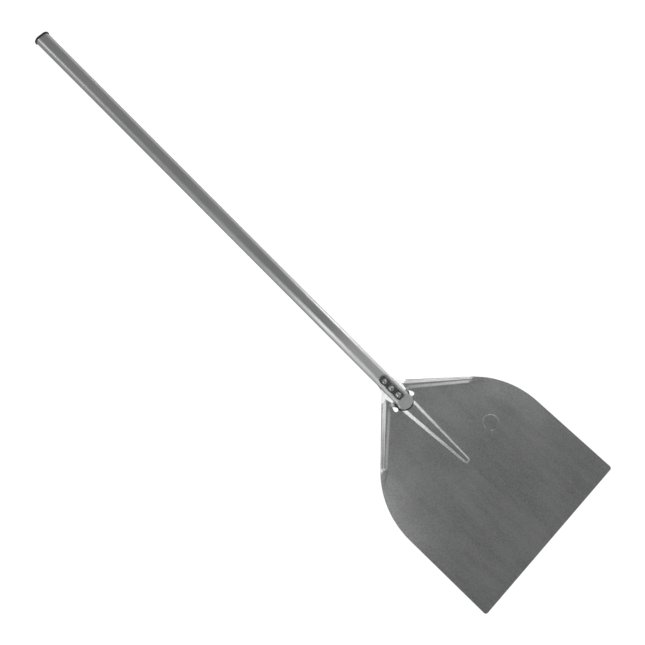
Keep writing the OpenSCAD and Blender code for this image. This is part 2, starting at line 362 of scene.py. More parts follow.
def rounded_edge(points, passes):
    """A polyline with its corners rounded; its two ends stay."""
    for _ in range(passes):
        points = [points[0]] + [
            ((a[0] + 2 * b[0] + c[0]) / 4, (a[1] + 2 * b[1] + c[1]) / 4)
            for a, b, c in zip(points, points[1:], points[2:])
        ] + [points[-1]]
    return points


# A row holds a point on the outline, one at the foot of the bead or beside the rib, one on the
# bead's crest or the rib's foot and one on the rear edge or the centre line. Then come the
# strength of the bead there and the point across the relief hole, or None.
OUT, FOOT, CREST, EDGE, STRENGTH, ACROSS = range(6)


def stations():
    """The rows from the outer end of the bead along it, round the neck and on to the rib's nose."""
    rows = []
    # the outer end of the bead: from four points on the outline to a row square across the hem
    square = (base_at(HEM_S), crest_at(HEM_S), outer_at(HEM_S))
    for u in (0.0, 0.5):
        points = [pair(rim_at(rim_a0 - a), p, u) for a, p in zip(START_A[1:], square)]
        rows.append((rim_at(rim_a0 - mix(START_A[0], HEM_A, u)), *points, cap_fade(2 * u), None))
    for s in [HEM_S + i for i in range(24)] + steps(26, turn_s, 26):
        a = mix(rim_a0 - HEM_A, 90, (s - HEM_S) / (turn_s - HEM_S))
        rows.append((rim_at(a), base_at(s), crest_at(s), outer_at(s), cap_fade(s), None))

    # round the turn at the neck, where the relief hole begins
    ts = steps(0, FAN_N, FAN_N * FAN_SUB)
    rear = rounded_edge([along(FAN_EDGE, t) for t in [0.0] + ts if t <= AXIS_I], REAR_PASSES)
    for k, t in enumerate(ts):
        out = (mix(0, BLADE_FRONT - FRONT_R, t / FAN_N), BLADE_HALF)
        edge = rear[k + 1] if t <= AXIS_I else along(FAN_EDGE, t)
        crest = polar(turn_c, TURN_R, mix(turn_a0, 270, t / FAN_N))
        rows.append((out, relief_rear(0.45 * t / FAN_N), crest, edge, 1.0,
                     relief_fore(t / RELIEF_SPAN)))

    # forward beside the tube and past the relief hole
    xs = SIDE_X + FOOT_X
    crest_y = [SIDE_Y, 18.4, 18.0, 17.5, 17.0, 16.6, RIB_BASE[0], RIB_BASE[0],
               rib_w(RIB_BASE, FOOT_X[-1])]
    turns = [90.0, 75.0, 56.25, 37.5, 18.75, 0.0]
    rear_u = [0.45, 0.5, 0.56, 0.62, 0.68, 0.74, 0.82, 0.91, 1.0]
    front_u = [0.0, 0.08, 0.16, 0.28]
    for t in steps(0, 8, 8 * 6):
        i = min(int(t), 7)
        f = t - i
        x = mix(xs[i], xs[i + 1], f)
        out = corner_at(mix(turns[i], turns[i + 1], f)) if i < 5 \
            else front_at(mix(front_u[i - 5], front_u[i - 4], f))
        fore = relief_fore((FAN_N + t) / RELIEF_SPAN) if t < 8 else None
        rows.append((out, relief_rear(mix(rear_u[i], rear_u[i + 1], f)),
                     (x, mix(crest_y[i], crest_y[i + 1], f)), (x, 0.0),
                     side_fade(x) if i < 5 else 0.0, fore))

    # along the rib and round its nose
    rib_xs = [-175.0, -170.0, RIB_X0, NOSE_X]
    for i, n in enumerate((5, 6, 40)):
        for f in steps(0, 1, n):
            x = mix(rib_xs[i], rib_xs[i + 1], f)
            w = rib_w(RIB_BASE, x)
            foot = (x, w + RIB_REACH) if i else pair(on_relief(MEET_A), (rib_xs[1], rib_w(
                RIB_BASE, rib_xs[1]) + RIB_REACH), f)
            rows.append((front_at(0.28 + 0.12 * (i + f)), foot, (x, w), (x, 0.0), 0.0, None))
    for a in steps(90, 0, 24):
        u = mix(0.7, 1.0, 1 - a / 75) if a < 75 else mix(0.64, 0.7, (90 - a) / 15)
        c = (NOSE_X, 0.0)
        rows.append((front_at(u), polar(c, RIB_BASE[1] + RIB_REACH, a), polar(c, RIB_BASE[1], a),
                     (NOSE_X + RIB_TOP[1] * (1 - a / 90), 0.0), 0.0, None))
    return rows


def lifted(p, h, neck=1.0):
    return (p[0], p[1], SHEET + max(h, neck * neck_h(p[0], p[1]), rib_h_at(p[0], p[1])))


def wall_h(u):
    return 1 - soft(u, 0.3)


def slope_h(u):
    return mix(1, EDGE_H / BEAD_H, soft(u, 0.25))


def normals_2d(points, closed, ends=None):
    """Unit normals on the left of a polyline; ends fixes the first and the last one."""
    n = len(points)
    out = []
    for i in range(n):
        a = points[i - 1] if i or closed else points[i]
        b = points[(i + 1) % n] if i < n - 1 or closed else points[i]
        dx, dy = b[0] - a[0], b[1] - a[1]
        d = math.hypot(dx, dy)
        out.append((-dy / d, dx / d))
    if ends:
        out[0], out[-1] = ends
    return out


EDGE_R = 0.45
EDGE_N = 4
RIM_ENDS = ((-1.0, 0.0), (1.0, 0.0))  # the rim's normals where it meets the centre line


def edge_profile():
    """(distance out from the inset point, drop below the top) of a rounded sheet edge."""
    quarter = [math.radians(90 * k / EDGE_N) for k in range(EDGE_N + 1)]
    top = [(EDGE_R * math.sin(a), EDGE_R * (1 - math.cos(a))) for a in quarter]
    return top + [(d, SHEET - z) for d, z in reversed(top)]


LIP_N = 14  # steps from the crest to the lip beside the tube
OUT_N = 28  # steps from the crest to the edge
LIP_LEAD = 12.0  # how far from the lip's line the edge is when the lip points start to move out
LIP_SHARE = 0.96  # how far out they get before the edge crosses that line
LIP_START = 0.8


def lip_points(rows):
    """For each row, where it passes the tube's side on its way from the crest to the edge."""
    even = LIP_N / OUT_N
    first = next(i for i, r in enumerate(rows) if r[EDGE][1] < LIP_Y)
    last = next(i for i, r in enumerate(rows) if i > first and r[CREST][0] > turn_c[0] - 0.001)
    made = []
    for i, r in enumerate(rows):
        crest, edge = r[CREST], r[EDGE]
        if i < first:
            share = mix(even, LIP_SHARE, clamp(1 - (edge[1] - LIP_Y) / LIP_LEAD, 0.0, 1.0))
            made.append(pair(crest, edge, share))
        elif i <= last:
            u = (i - first) / (last - first)
            made.append((mix(rows[first][EDGE][0] + LIP_START, turn_c[0], u), LIP_Y))
        else:
            middle = pair(crest, edge, even)
            u = ramp(crest[0], NECK_FRONT, NECK_FRONT + 6)
            made.append(pair((crest[0], LIP_Y), middle, u) if u < 1 else middle)
    return made


def out_line(crest, lip, edge):
    """Points from the crest by way of the lip to the edge, each with its share of the way."""
    a, b = math.dist(crest, lip), math.dist(lip, edge)
    share = a / max(a + b, 1e-9)
    bend = 1.5 if share < LIP_N / OUT_N else 1.0
    line = [(pair(crest, lip, i / LIP_N), share * i / LIP_N) for i in range(LIP_N + 1)]
    for i in range(1, OUT_N - LIP_N + 1):
        u = (i / (OUT_N - LIP_N)) ** bend
        line.append((pair(lip, edge, u), mix(share, 1.0, u)))
    return line


def loop_side(flat):
    """1 where a closed loop runs anticlockwise, otherwise -1."""
    area = sum(a[0] * b[1] - a[1] * b[0] for a, b in zip(flat, flat[1:] + flat[:1]))
    return 1 if area > 0 else -1


def moved_in(rows):
    """The rows with the outline and the relief hole moved into the metal by the edge radius."""
    m = len(rows)
    rear_end = next(i for i in range(1, m) if abs(rows[i][EDGE][1]) < 1e-9)
    inside = [i for i in range(m) if rows[i][ACROSS] is not None]
    rim = [(i, OUT) for i in range(m - 1, -1, -1)] + [(0, FOOT), (0, CREST)] \
        + [(i, EDGE) for i in range(rear_end + 1)]
    hole = [(i, FOOT) for i in range(inside[0] - 1, inside[-1] + 2)] \
        + [(i, ACROSS) for i in reversed(inside)]
    made = [list(r) for r in rows]
    for keys, closed, ends in ((rim, False, RIM_ENDS), (hole, True, None)):
        flat = [rows[i][k] for i, k in keys]
        side = loop_side(flat) if closed else -1
        for (i, k), p, nrm in zip(keys, flat, normals_2d(flat, closed, ends)):
            made[i][k] = (p[0] - side * EDGE_R * nrm[0], p[1] - side * EDGE_R * nrm[1])
    return made, rear_end, inside


def head_mesh():
    """Verts and faces of the head's +Y half: its top, its underside and its rounded edges."""
    rows, rear_end, inside = moved_in(stations())
    lips = lip_points(rows)
    m, n = len(rows), 2 + IN_N + OUT_N
    grid, fore, verts = [], {}, []

    def add(p):
        verts.append(p)
        return len(verts) - 1

    for i, (out, foot, crest, edge, strength, across) in enumerate(rows):
        line = [(out[0], out[1], SHEET)]
        line += [lifted(pair(crest, foot, u), BEAD_H * strength * wall_h(u), 1 - ease(u))
                 for u in in_u]
        line += [lifted(p, BEAD_H * strength * slope_h(u))
                 for p, u in out_line(crest, lips[i], edge)]
        grid.append([add(p) for p in line])
        if across is not None:
            fore[i] = add((across[0], across[1], SHEET))

    # the rim of the sheet from the front's middle round to the tab's middle, and the relief hole
    rim = [grid[i][0] for i in range(m - 1, -1, -1)] + grid[0][1:] \
        + [grid[i][-1] for i in range(1, rear_end + 1)]
    hole = [grid[i][1] for i in range(inside[0] - 1, inside[-1] + 2)] \
        + [fore[i] for i in reversed(inside)]
    profile = edge_profile()
    strips = []
    for loop, closed, ends in ((rim, False, RIM_ENDS), (hole, True, None)):
        flat = [verts[k][:2] for k in loop]
        side = loop_side(flat) if closed else -1
        strip = []
        for k, nrm in zip(loop, normals_2d(flat, closed, ends)):
            x, y, z = verts[k]
            strip.append([k] + [add((x + d * side * nrm[0], y + d * side * nrm[1], z - drop))
                                for d, drop in profile[1:-1]])
        strips.append((strip, closed))

    # the underside repeats the top, one thickness of the sheet lower
    under = {}
    for row in grid:
        for k in row:
            under[k] = None
    for k in fore.values():
        under[k] = None
    for k in under:
        x, y, z = verts[k]
        under[k] = add((x, y, z - SHEET))
    for strip, _ in strips:
        for ring in strip:
            ring.append(under[ring[0]])

    faces = []
    for i in range(m - 1):
        a = fore.get(i, grid[i][1])
        b = fore.get(i + 1, grid[i + 1][1])
        faces.append((grid[i][0], a, b, grid[i + 1][0]))
        for j in range(1, n - 1):
            faces.append((grid[i][j], grid[i][j + 1], grid[i + 1][j + 1], grid[i + 1][j]))
    faces += [tuple(under[k] for k in reversed(f)) for f in faces]
    for strip, closed in strips:
        pairs = list(zip(strip, strip[1:]))
        if closed:
            pairs.append((strip[-1], strip[0]))
        for r, s in pairs:
            faces += [(r[j], r[j + 1], s[j + 1], s[j]) for j in range(len(r) - 1)]
    return verts, faces


# ---- making and cutting the pieces ----
SHARP_DEG = 38.0


def smoothed(mesh):
    mesh.shade_smooth()
    mesh.set_sharp_from_angle(angle=math.radians(SHARP_DEG))


def make_piece(name, verts, faces, node, slot, material, mirror=False):
    """An object from points in millimetres, riding on the root and standing for a CAD node."""
    bm = bmesh.new()
    pts = [bm.verts.new([MM * c for c in v]) for v in verts]
    for f in faces:
        f = tuple(dict.fromkeys(f))
        if len(f) > 2:
            try:
                bm.faces.new([pts[k] for k in f])
            except ValueError:
                pass  # a face that is already there is left out
    bmesh.ops.delete(bm, geom=[v for v in bm.verts if not v.link_faces], context="VERTS")
    if mirror:
        geom = bm.verts[:] + bm.edges[:] + bm.faces[:]
        bmesh.ops.mirror(bm, geom=geom, matrix=Matrix.Identity(4), merge_dist=1e-7, axis="Y")
        bmesh.ops.remove_doubles(bm, verts=bm.verts, dist=2e-7)
    bmesh.ops.dissolve_degenerate(bm, edges=bm.edges, dist=2e-7)
    bmesh.ops.recalc_face_normals(bm, faces=bm.faces)
    mesh = bpy.data.meshes.new(name)
    bm.to_mesh(mesh)
    bm.free()
    mesh.materials.append(material)
    smoothed(mesh)
    obj = bpy.data.objects.new(name, mesh)
    bpy.context.scene.collection.objects.link(obj)
    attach(obj, "root")
    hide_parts(node)
    return obj


def lathe(profile, n):
    """Verts and faces of a profile of (radius, z) turned about Z; its ends are on the axis."""
    verts = [(0.0, 0.0, profile[0][1])]
    rings = []
    for r, z in profile[1:-1]:
        rings.append(list(range(len(verts), len(verts) + n)))
        verts += [(*polar((0, 0), r, 360 * k / n), z) for k in range(n)]
    verts.append((0.0, 0.0, profile[-1][1]))
    faces = []
    for k in range(n):
        j = (k + 1) % n
        faces.append((0, rings[0][j], rings[0][k]))
        faces.append((len(verts) - 1, rings[-1][k], rings[-1][j]))
        for a, b in zip(rings, rings[1:]):
            faces.append((a[k], a[j], b[j], b[k]))
    return verts, faces


def skin(rings, n, closed):
    """Faces between rings of n points each; closed joins the last ring to the first."""
    faces = []
    for i in range(rings if closed else rings - 1):
        a, b = i * n, (i + 1) % rings * n
        faces += [(a + k, a + (k + 1) % n, b + (k + 1) % n, b + k) for k in range(n)]
    return faces


def cut(obj, verts, faces, where):
    """Cuts copies of a closed form, each moved to a place in where, out of obj."""
    bm = bmesh.new()
    for place in where:
        pts = [bm.verts.new([MM * (c + d) for c, d in zip(v, place)]) for v in verts]
        for f in faces:
            bm.faces.new([pts[k] for k in f])
    bmesh.ops.recalc_face_normals(bm, faces=bm.faces)
    mesh = bpy.data.meshes.new("cutter")
    bm.to_mesh(mesh)
    bm.free()
    cutter = bpy.data.objects.new("cutter", mesh)
    bpy.context.scene.collection.objects.link(cutter)
    mod = obj.modifiers.new("cut", "BOOLEAN")
    mod.object = cutter
    mod.operation = "DIFFERENCE"
    mod.solver = "EXACT"
    graph = bpy.context.evaluated_depsgraph_get()
    result = bpy.data.meshes.new_from_object(obj.evaluated_get(graph))
    obj.modifiers.clear()
    smoothed(result)
    obj.data = result
    bpy.data.objects.remove(cutter)


def even_normals(obj):
    mod = obj.modifiers.new("normals", "WEIGHTED_NORMAL")
    mod.mode = "FACE_AREA"
    mod.weight = 60
    mod.keep_sharp = True


# ---- materials ----
class Shading:
    """A node tree, with a short call for each kind of node the materials use."""

    def __init__(self, tree):
        self.nodes, self.links = tree.nodes, tree.links

    def feed(self, socket, value):
        """Links a socket to another, or sets it to a number, a vector or a colour."""
        if isinstance(value, bpy.types.NodeSocket):
            self.links.new(value, socket)
        else:
            socket.default_value = value

    def made(self, kind, out, **inputs):
        """A new node's output; spaces in the names of inputs are written as underscores."""
        node = self.nodes.new(kind)
        for name, value in inputs.items():
            self.feed(node.inputs[name.replace("_", " ")], value)
        return node.outputs[out]

    def split(self, coords):
        """The three coordinates of a vector."""
        node = self.nodes.new("ShaderNodeSeparateXYZ")
        self.feed(node.inputs[0], coords)
        return tuple(node.outputs)

    def noise(self, coords, scale, detail, rough, stretch=None):
        if stretch:
            coords = self.made("ShaderNodeMapping", "Vector", Vector=coords, Scale=stretch)
        return self.made("ShaderNodeTexNoise", "Fac", Vector=coords, Scale=scale,
                         Detail=detail, Roughness=rough)

    def spread(self, value, lo, hi, from_lo=0.3, from_hi=0.7):
        """value brought from its own range to lo..hi; a noise has its own range by default."""
        return self.made("ShaderNodeMapRange", "Result", Value=value, From_Min=from_lo,
                         From_Max=from_hi, To_Min=lo, To_Max=hi)

    def mask(self, value, a, b):
        """A smooth mask that rises from 0 at a to 1 at b."""
        made = self.nodes.new("ShaderNodeMapRange")
        made.interpolation_type = "SMOOTHSTEP"
        for name, v in (("Value", value), ("From Min", a), ("From Max", b)):
            self.feed(made.inputs[name], v)
        return made.outputs["Result"]

    def maths(self, op, *values):
        made = self.nodes.new("ShaderNodeMath")
        made.operation = op
        for socket, v in zip(made.inputs, values):
            self.feed(socket, v)
        return made.outputs[0]

    def add(self, first, *others):
        for v in others:
            first = self.maths("ADD", first, v)
        return first

    def times(self, first, *others):
        for v in others:
            first = self.maths("MULTIPLY", first, v)
        return first

    def minus(self, a, b):
        return self.maths("SUBTRACT", a, b)

    def size(self, v):
        return self.maths("ABSOLUTE", v)

    def length(self, a, b):
        return self.maths("SQRT", self.add(self.times(a, a), self.times(b, b)))

    def tinted(self, fac, dark, light):
        """A blend of two colours, each a triple or a socket."""
        made = self.nodes.new("ShaderNodeMix")
        made.data_type = "RGBA"
        for name, v in (("Factor", fac), ("A", dark), ("B", light)):
            self.feed(made.inputs[name], (*v, 1) if isinstance(v, tuple) else v)
        return made.outputs["Result"]

    def bumps(self, *layers):
        """A normal from chained bump nodes given as (height, strength, distance)."""
        normal = None
        for height, strength, distance in layers:
            inputs = {"Height": height, "Strength": strength, "Distance": distance}
            if normal is not None:
                inputs["Normal"] = normal
            normal = self.made("ShaderNodeBump", "Normal", **inputs)
        return normal


def new_material(name):
    mat = bpy.data.materials.new(name)
    mat.use_nodes = True
    g = Shading(mat.node_tree)
    return mat, g, g.nodes["Principled BSDF"].inputs


# the shallow ring on the blade: its centre, its radius, half its width and its depth
RING_AT = (-36.5, 86.0, SHEET)
RING_R = 15.0
RING_HALF = 0.55
RING_DEPTH = 0.12


def ring_highlight_mask(g, x, y):
    """1 on the outer rear side of the shallow ring, fading round to its other side: where a
    highlight is painted on the ring.

    The mask doesn't look at the height, so the sheet's underside has it too.
    """
    along, beside = g.minus(x, RING_AT[0] * MM), g.minus(y, RING_AT[1] * MM)
    off = g.size(g.minus(g.length(along, beside), RING_R * MM))
    return g.times(g.mask(off, 1.6 * RING_HALF * MM, RING_HALF * MM),
                   g.mask(g.minus(beside, along), -0.2 * RING_R * MM, 0.6 * RING_R * MM))


def crease_shade_mask(g, x, y):
    """1 under the front of the tongue and in the crease round it, where shade is painted; its tip
    is part of an ellipse.

    The mask doesn't look at the height, so the sheet's underside has it too.
    """
    ahead = g.times(g.minus(x, (TIP_X - TONGUE_BULGE) * MM), 1 / (TONGUE_BULGE * MM))
    aside = g.times(y, 1 / (TONGUE_R * MM))
    return g.times(g.mask(g.length(ahead, aside), 1.2, 1.1), g.mask(ahead, -0.5, -0.1))


def sheet_material():
    """Finely blasted aluminium with slow clouds, faint rubs and rougher sides and rear, a painted
    highlight on one side of the shallow ring and painted shade round the tongue's front.
    """
    mat, g, surface = new_material("blasted_aluminium")
    coords = g.made("ShaderNodeTexCoord", "Object")
    x, y, _ = g.split(coords)
    clouds = g.noise(coords, 9.0, 3.0, 0.5)
    grain = g.noise(coords, 1100.0, 2.0, 0.6)
    speck = g.noise(coords, 420.0, 3.0, 0.65)
    rubs = g.noise(coords, 22.0, 2.0, 0.5, (0.5, 3.0, 3.0))
    painted_ring_highlight = ring_highlight_mask(g, x, y)
    tone = g.add(g.spread(clouds, 0.1, 0.45), g.spread(speck, 0.0, 0.7, 0.38, 0.62),
                 g.spread(rubs, -0.1, 0.2))
    metal = g.tinted(tone, (0.6, 0.605, 0.615), (0.86, 0.865, 0.87))
    # painted highlight: the ring's outer rear side is coloured lighter, as if it caught the light
    metal = g.tinted(painted_ring_highlight, metal, (0.97, 0.97, 0.97))
    # painted shade: the sheet is coloured near black under the tongue's front and in the crease
    # round it
    g.feed(surface["Base Color"], g.tinted(crease_shade_mask(g, x, y), metal, (0.09, 0.09, 0.09)))
    sides = g.times(g.mask(g.size(y), 0.08, 0.18), g.mask(x, 0.16, -0.06))
    rear = g.mask(x, 0.05, -0.16)
    g.feed(surface["Roughness"], g.add(
        g.spread(clouds, 0.29, 0.33), g.spread(grain, -0.04, 0.04), g.spread(rubs, -0.015, 0.015),
        g.times(sides, 0.11), g.times(rear, 0.05), g.times(painted_ring_highlight, 0.12)))
    g.feed(surface["Metallic"], 1.0)
    g.feed(surface["Normal"], g.bumps((grain, 0.4, 0.00012), (speck, 0.35, 0.0003)))
    return mat


def trough_mask(g, x, y, z):
    """1 inside the trough, up to the foot of its walls."""
    back, front = TROUGH_X0 * MM, TROUGH_X1 * MM
    return g.times(g.mask(x, back, back + 2 * MM), g.mask(x, front, front - 2 * MM),
                   g.mask(g.size(y), 10.2 * MM, 9.2 * MM), g.mask(z, 13.0 * MM, 9.0 * MM))


def tube_material():
    """Drawn aluminium with fine streaks along the tube, and a burnished trough with painted shade
    in it.
    """
    mat, g, surface = new_material("drawn_aluminium")
    coords = g.made("ShaderNodeTexCoord", "Object")
    x, y, z = g.split(coords)
    streaks = g.noise(coords, 420.0, 3.0, 0.6, (0.02, 1.0, 1.0))
    fine = g.noise(coords, 1500.0, 2.0, 0.6, (0.05, 1.0, 1.0))
    clouds = g.noise(coords, 14.0, 4.0, 0.55, (0.6, 1.5, 1.5))
    grain = g.noise(coords, 900.0, 2.0, 0.6)
    trough_burnish_and_shade = trough_mask(g, x, y, z)
    tone = g.add(g.spread(streaks, 0.0, 0.4), g.spread(clouds, 0.0, 0.4))
    metal = g.tinted(tone, (0.74, 0.745, 0.75), (0.88, 0.885, 0.89))
    # painted shade: the trough is coloured dark where shade falls in the recess; its lower
    # roughness stands for burnishing
    g.feed(surface["Base Color"], g.tinted(g.times(trough_burnish_and_shade, 0.75), metal, (0.16, 0.16, 0.165)))
    near_neck = g.mask(x, -0.40, -0.26)
    g.feed(surface["Roughness"], g.add(
        g.spread(clouds, 0.37, 0.43), g.spread(fine, -0.03, 0.03),
        g.times(near_neck, 0.2), g.times(trough_burnish_and_shade, -0.36)))
    g.feed(surface["Metallic"], 1.0)
    g.feed(surface["Normal"], g.bumps(
        (streaks, 0.25, 0.0001), (fine, 0.2, 0.00006), (grain, 0.15, 0.00008)))
    return mat


def rivet_material():
    """Bright rivet metal, smoother than the sheet, with small dents from setting."""
    mat, g, surface = new_material("rivet_aluminium")
    coords = g.made("ShaderNodeTexCoord", "Object")
    clouds = g.noise(coords, 260.0, 3.0, 0.5)
    fine = g.noise(coords, 1400.0, 3.0, 0.6)
    g.feed(surface["Base Color"], g.tinted(
        g.spread(clouds, 0.0, 1.0), (0.74, 0.745, 0.75), (0.88, 0.885, 0.89)))
    g.feed(surface["Roughness"], g.add(g.spread(clouds, 0.22, 0.30), g.spread(fine, -0.03, 0.03)))
    g.feed(surface["Metallic"], 1.0)
    g.feed(surface["Normal"], g.bumps((clouds, 0.2, 0.0002), (fine, 0.2, 0.00006)))
    return mat


def plug_material():
    """Black moulded plastic with a fine texture and slightly greyed scuffs."""
    mat, g, surface = new_material("black_plastic")
    coords = g.made("ShaderNodeTexCoord", "Object")
    pebble = g.made("ShaderNodeTexVoronoi", "Distance", Vector=coords, Scale=1300.0)
    clouds = g.noise(coords, 120.0, 4.0, 0.6)
    g.feed(surface["Base Color"], g.tinted(
        g.spread(clouds, 0.0, 1.0), (0.016, 0.016, 0.017), (0.036, 0.036, 0.038)))
    g.feed(surface["Roughness"], g.spread(clouds, 0.42, 0.58))
    g.feed(surface["Normal"], g.bumps((pebble, 0.35, 0.0001), (clouds, 0.15, 0.0002)))
    return mat


sheet_metal = sheet_material()
tube_metal = tube_material()
rivet_metal = rivet_material()
plastic = plug_material()

# ---- head ----
head = make_piece("head", *head_mesh(), "head_sheet", "head_sheet", sheet_metal, mirror=True)
BORE_R = 3.0
BORE_REACH = 30.0
bore = lathe([(0, -BORE_REACH), (BORE_R, -BORE_REACH), (BORE_R, BORE_REACH), (0, BORE_REACH)], 64)
cut(head, *bore, [(x, 0.0, 0.0) for x in RIVET_X])


def ring_groove(radius, half, depth, n):
    """A closed ring with a rounded lower side, for cutting a shallow groove."""
    clear = 0.4  # how far the cutter stands out of the sheet
    section = [(radius - half, clear)] + [
        (radius - half * math.cos(math.radians(a)), -depth * math.sin(math.radians(a)))
        for a in range(0, 181, 30)
    ] + [(radius + half, clear)]
    verts = [(*polar((0, 0), r, 360 * k / n), z) for k in range(n) for r, z in section]
    return verts, skin(n, len(section), True)


cut(head, *ring_groove(RING_R, RING_HALF, RING_DEPTH, 120), [RING_AT])
even_normals(head)

# ---- handle tube ----
RING_N = 160  # points round the tube
SIDE_N = 12  # of them, from its side to the fine band, and again from the band to its middle
BAND_OUT, BAND_IN = 2.4, 2.2  # how far the fine band reaches outside and inside the guide line
GUIDE_MIN = 2.8
GUIDE_BACK = 9.6
GUIDE_FADE = 24.0
GUIDE_ROOM = 3.2
WALL_OUT, WALL_IN = 3.0, 2.6  # how far the trough's wall reaches outside and inside its width
WALL_LEAN = 0.9  # how far the leaning wall moves out when the surface is inset by 1
RIM_BLEND = 0.9


def trough_w(x):
    """Half the width of the trough: a rounded rear end, then widest at each rivet."""
    if x < RIVET_X[0]:
        u = (x - RIVET_X[0]) / TROUGH_END_R
        return TROUGH_MAX_W * math.sqrt(1 - u * u) if x > TROUGH_X0 else x - TROUGH_X0
    scallop = abs(math.cos(math.pi * (x - RIVET_X[0]) / PITCH))
    return mix(TROUGH_MIN_W, TROUGH_MAX_W, scallop)


def trough_floor(x):
    return mix(2 * WALL + FLOOR_GAP, RIDGE_H, ease(ramp(x, TROUGH_X1 - RIDGE_LEN, TROUGH_X1)))


def section_v(y, a, b, up):
    """Height of a flat oval over its underside, on its upper (up = 1) or lower (-1) side."""
    return b + up * b * (1 - arc_drop(clamp((abs(y) - a + b) / b, 0.0, 1.0)))


def side_ys(a, w):
    """Distances from the axis, from the tube's side in to its middle, close together at w."""
    outer, inner = w + BAND_OUT, w - BAND_IN
    halves = [(i + 0.5) / SIDE_N for i in range(SIDE_N)]
    band = RING_N // 4 - 2 * SIDE_N
    side = [outer + (a - outer) * math.cos(math.radians(90 * u)) for u in halves]
    fine = [mix(outer, inner, i / band) for i in range(band)]
    return side + fine + [inner * (1 - u) for u in halves]


def trough_guide(x):
    """The half width that the mesh lines follow: the trough's, eased away behind it."""
    if x < TROUGH_X0:
        return mix(GUIDE_MIN, GUIDE_BACK, ease(ramp(TROUGH_X0 - x, 0, GUIDE_FADE)))
    return max(GUIDE_MIN, trough_w(x))


def tube_ring(x, inset, a, b, press, tip):
    """One ring of points; an inset of 0 gives the outer face, one of the wall the inner face."""
    ring = []
    q = tilt(x)
    ai, bi = a - inset, b - inset
    ys = side_ys(ai, min(trough_guide(x) + WALL_LEAN * inset, ai - GUIDE_ROOM))
    ys = ys + [-y for y in reversed(ys)]
    for k in range(RING_N):
        up = 1 if k < RING_N // 2 else -1
        y = ys[k] if up > 0 else ai * math.cos(2 * math.pi * (k + 0.5) / RING_N)
        v = section_v(y, ai, bi, up) + inset
        if up > 0 and press:
            w = trough_w(x) + WALL_LEAN * inset
            wall = TROUGH_RISE * ease(ramp(abs(y), w - WALL_IN, w + WALL_OUT))
            v = smin(v, trough_floor(x) - inset + wall, RIM_BLEND)
        end = tip * TONGUE_BULGE * (math.sqrt(max(0.0, 1 - (y / TONGUE_R) ** 2)) - 1)
        ring.append((x + end + v * math.sin(q), y, bottom_z(x) + v * math.cos(q)))
    return ring


def tube_face(inset):
    neck_x = SQUEEZE_X0 - 6
    rings = [tube_ring(x, inset, TUBE_A, TUBE_B, False, 0.0)
             for x in [TUBE_END_X] + steps(TUBE_END_X, neck_x, 24)]
    neck = steps(neck_x, TROUGH_X0 - 2, 24) + steps(TROUGH_X0 - 2, TROUGH_X0 + 4, 20) \
        + steps(TROUGH_X0 + 4, TROUGH_X1, 84)
    rings += [tube_ring(x, inset, TUBE_A, half_height(x), True, 0.0) for x in neck]
    for u in steps(0, 1, 30):
        a = mix(TUBE_A, TONGUE_A, ease(min(1.0, 1.6 * u)))
        b = mix(half_height(TROUGH_X1), mix(*TONGUE_B, u), ease(ramp(u, 0.0, 0.2)))
        rings.append(tube_ring(mix(TROUGH_X1, TIP_X, u), inset, a, b, False, u * u))
    return rings


MOUTH_ROUND = 0.45


def tube_mesh():
    outer, inner = tube_face(0.0), tube_face(WALL)
    # a rounded lip closes the mouth at the tongue's end
    lip = []
    for a in (30, 60, 90, 120, 150):
        f = 0.5 * (1 - math.cos(math.radians(a)))
        push = MOUTH_ROUND * math.sin(math.radians(a))
        lip.append([tuple(mix(p[i], q[i], f) + (push if i == 0 else 0.0) for i in range(3))
                    for p, q in zip(outer[-1], inner[-1])])
    loops = outer + lip + inner[::-1]
    return [p for ring in loops for p in ring], skin(len(loops), RING_N, True)


tube = make_piece("tube", *tube_mesh(), "handle_tube", "handle_tube", tube_metal)
cut(tube, *bore, [(x, 0.0, 0.0) for x in RIVET_X])
even_normals(tube)

# ---- rivets ----
HEAD_R = 5.5
HEAD_H = 2.6
# the rounded rim of the head, as (in from its radius, up from its seat)
HEAD_RIM = ((0.35, 0.0), (0.1, 0.08), (0.02, 0.25))
DOME_N = 18
DOME_SHARE = 0.955  # the share of the dome's arc that lies above the rounded rim
TAIL_R = 5.0
TAIL_H = 1.8
TAIL_ROUND = 0.8
SHANK_R = 2.95


def rivet_profile(lo, hi):
    """(radius, z) from the middle of the tail to the top of the dome."""
    seat = hi - HEAD_H
    dome_r = (HEAD_R**2 + HEAD_H**2) / (2 * HEAD_H)
    span = DOME_SHARE * math.asin(HEAD_R / dome_r)
    tail_top = lo + TAIL_H
    points = [(0.0, lo), (TAIL_R - 1.0, lo)]
    points += [(TAIL_R - TAIL_ROUND + TAIL_ROUND * math.sin(math.radians(a)),
                lo + TAIL_ROUND - TAIL_ROUND * math.cos(math.radians(a)))
               for a in range(15, 91, 15)]
    points += [(TAIL_R, tail_top), (SHANK_R, tail_top), (SHANK_R, seat)]
    points += [(HEAD_R - r, seat + z) for r, z in HEAD_RIM]
    for i in range(1, DOME_N):
        a = span * (1 - i / DOME_N)
        points.append((dome_r * math.sin(a), hi - dome_r + dome_r * math.cos(a)))
    return points + [(0.0, hi)]


for name, cad, (lo, hi) in zip(
    ("rivet_a", "rivet_b", "rivet_c"), ("rivet_rear", "rivet_middle", "rivet_front"), rivet_boxes
):
    verts, faces = lathe(rivet_profile(lo.z, hi.z), 96)
    centre = (lo.x + hi.x) / 2
    verts = [(x + centre, y, z) for x, y, z in verts]
    even_normals(make_piece(name, verts, faces, cad, "rivets", rivet_metal))

# ---- end plug ----
FLANGE_LIP = 1.8
FLANGE_T = 3.0
FLANGE_ROUND = 1.2
FLANGE_BACK_ROUND = 0.4
SPIGOT = 26.0
SPIGOT_ROUND = 0.6
GRIP_N, GRIP_PITCH, GRIP_T = 4, 6.0, 1.2
